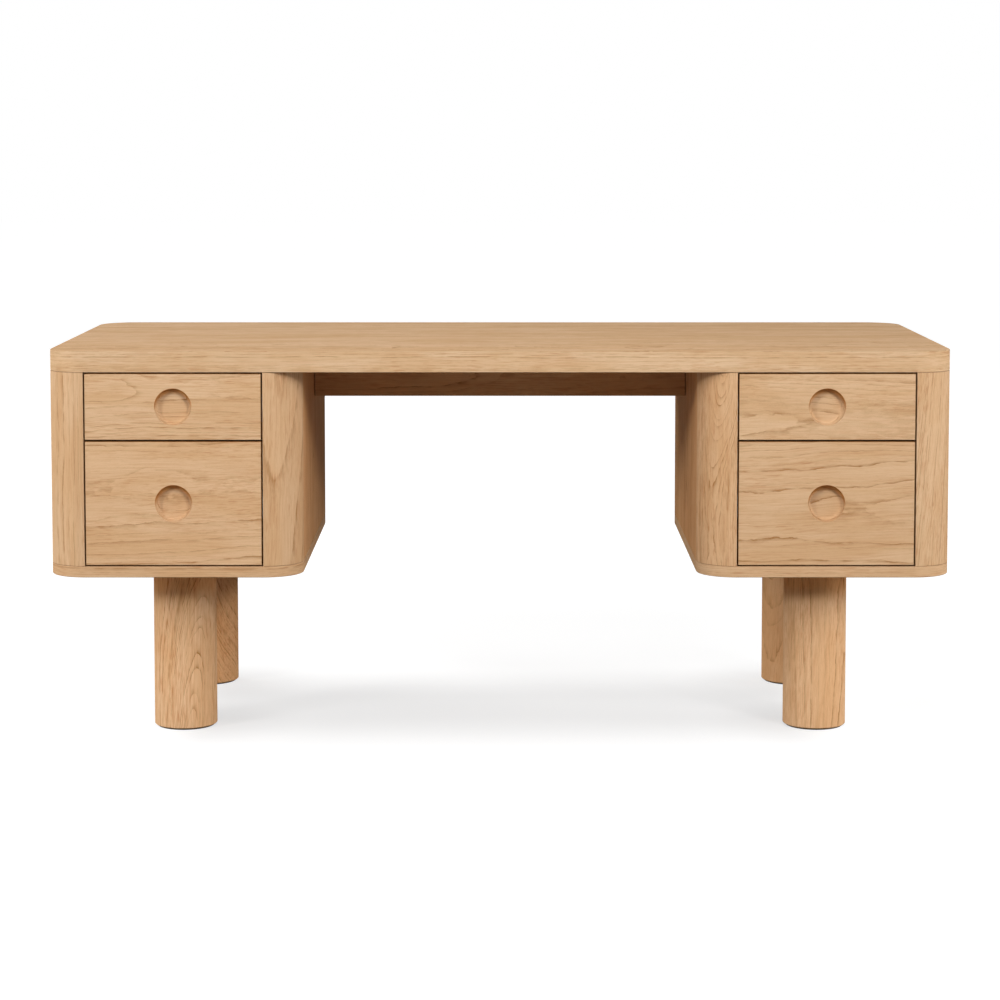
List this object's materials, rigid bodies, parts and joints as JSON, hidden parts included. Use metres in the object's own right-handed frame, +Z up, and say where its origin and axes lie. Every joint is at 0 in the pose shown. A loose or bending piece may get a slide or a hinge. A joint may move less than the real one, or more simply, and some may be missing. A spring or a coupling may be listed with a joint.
{
  "type": "computer desk",
  "caption": "Double-pedestal oak desk with rounded corners, inset drawers with round finger pulls on telescopic slides, and thick round legs.",
  "frame": {"origin": "on the floor under the middle of the desk", "axes": "+X along the width, +Z up; the drawers open towards -Y"},
  "size_m": [1.8, 0.8, 0.786],
  "materials": {
    "oak_veneer": "satin clear lacquer over oak veneer",
    "oak_solid": "satin clear lacquer over solid oak",
    "drawer_wood": "clear lacquer over birch ply",
    "zinc_slide": "rolled steel, bright zinc",
    "zinc_screw": "turned steel, bright zinc",
    "felt_glide": "dark brown pressed felt"
  },
  "bodies": {
    "carcass": {"desktop": "oak_veneer", "apron_rail": "oak_veneer", "desktop_screws": "zinc_screw", "leg_bolts": "zinc_screw", "foot_glides": "felt_glide", "left_base_panel": "oak_veneer", "left_carcass_top": "drawer_wood", "left_back_panel": "oak_veneer", "left_outer_carcass_side": "oak_veneer", "left_inner_carcass_side": "oak_veneer", "left_outer_side_panel": "oak_veneer", "left_inner_side_panel": "oak_veneer", "left_front_outer_post": "oak_solid", "left_front_inner_post": "oak_solid", "left_back_outer_post": "oak_solid", "left_back_inner_post": "oak_solid", "left_front_leg": "oak_solid", "left_back_leg": "oak_solid", "right_base_panel": "oak_veneer", "right_carcass_top": "drawer_wood", "right_back_panel": "oak_veneer", "right_outer_carcass_side": "oak_veneer", "right_inner_carcass_side": "oak_veneer", "right_outer_side_panel": "oak_veneer", "right_inner_side_panel": "oak_veneer", "right_front_outer_post": "oak_solid", "right_front_inner_post": "oak_solid", "right_back_outer_post": "oak_solid", "right_back_inner_post": "oak_solid", "right_front_leg": "oak_solid", "right_back_leg": "oak_solid", "slide_cabinet_members": "zinc_slide"},
    "left_upper_drawer": {"left_upper_drawer_front": "oak_veneer", "left_upper_box_sides": "drawer_wood", "left_upper_box_front": "drawer_wood", "left_upper_box_back": "drawer_wood", "left_upper_box_bottom": "drawer_wood", "left_upper_slide_drawer_members": "zinc_slide"},
    "left_upper_slide_middle": {"left_upper_slide_middle_members": "zinc_slide"},
    "left_lower_drawer": {"left_lower_drawer_front": "oak_veneer", "left_lower_box_sides": "drawer_wood", "left_lower_box_front": "drawer_wood", "left_lower_box_back": "drawer_wood", "left_lower_box_bottom": "drawer_wood", "left_lower_slide_drawer_members": "zinc_slide"},
    "left_lower_slide_middle": {"left_lower_slide_middle_members": "zinc_slide"},
    "right_upper_drawer": {"right_upper_drawer_front": "oak_veneer", "right_upper_box_sides": "drawer_wood", "right_upper_box_front": "drawer_wood", "right_upper_box_back": "drawer_wood", "right_upper_box_bottom": "drawer_wood", "right_upper_slide_drawer_members": "zinc_slide"},
    "right_upper_slide_middle": {"right_upper_slide_middle_members": "zinc_slide"},
    "right_lower_drawer": {"right_lower_drawer_front": "oak_veneer", "right_lower_box_sides": "drawer_wood", "right_lower_box_front": "drawer_wood", "right_lower_box_back": "drawer_wood", "right_lower_box_bottom": "drawer_wood", "right_lower_slide_drawer_members": "zinc_slide"},
    "right_lower_slide_middle": {"right_lower_slide_middle_members": "zinc_slide"}
  },
  "joints": [
    {"name": "left_upper_drawer_pull", "type": "slide", "parent": "carcass", "child": "left_upper_drawer", "axis": [0, -1, 0], "range_m": [0, 0.55]},
    {"name": "left_upper_middle_travel", "type": "slide", "parent": "carcass", "child": "left_upper_slide_middle", "axis": [0, -1, 0], "range_m": [0, 0.275]},
    {"name": "left_lower_drawer_pull", "type": "slide", "parent": "carcass", "child": "left_lower_drawer", "axis": [0, -1, 0], "range_m": [0, 0.55]},
    {"name": "left_lower_middle_travel", "type": "slide", "parent": "carcass", "child": "left_lower_slide_middle", "axis": [0, -1, 0], "range_m": [0, 0.275]},
    {"name": "right_upper_drawer_pull", "type": "slide", "parent": "carcass", "child": "right_upper_drawer", "axis": [0, -1, 0], "range_m": [0, 0.55]},
    {"name": "right_upper_middle_travel", "type": "slide", "parent": "carcass", "child": "right_upper_slide_middle", "axis": [0, -1, 0], "range_m": [0, 0.275]},
    {"name": "right_lower_drawer_pull", "type": "slide", "parent": "carcass", "child": "right_lower_drawer", "axis": [0, -1, 0], "range_m": [0, 0.55]},
    {"name": "right_lower_middle_travel", "type": "slide", "parent": "carcass", "child": "right_lower_slide_middle", "axis": [0, -1, 0], "range_m": [0, 0.275]}
  ],
  "couplings": [
    {"joint": "left_upper_middle_travel", "follows": "left_upper_drawer_pull", "ratio": 0.5},
    {"joint": "left_lower_middle_travel", "follows": "left_lower_drawer_pull", "ratio": 0.5},
    {"joint": "right_upper_middle_travel", "follows": "right_upper_drawer_pull", "ratio": 0.5},
    {"joint": "right_lower_middle_travel", "follows": "right_lower_drawer_pull", "ratio": 0.5}
  ]
}
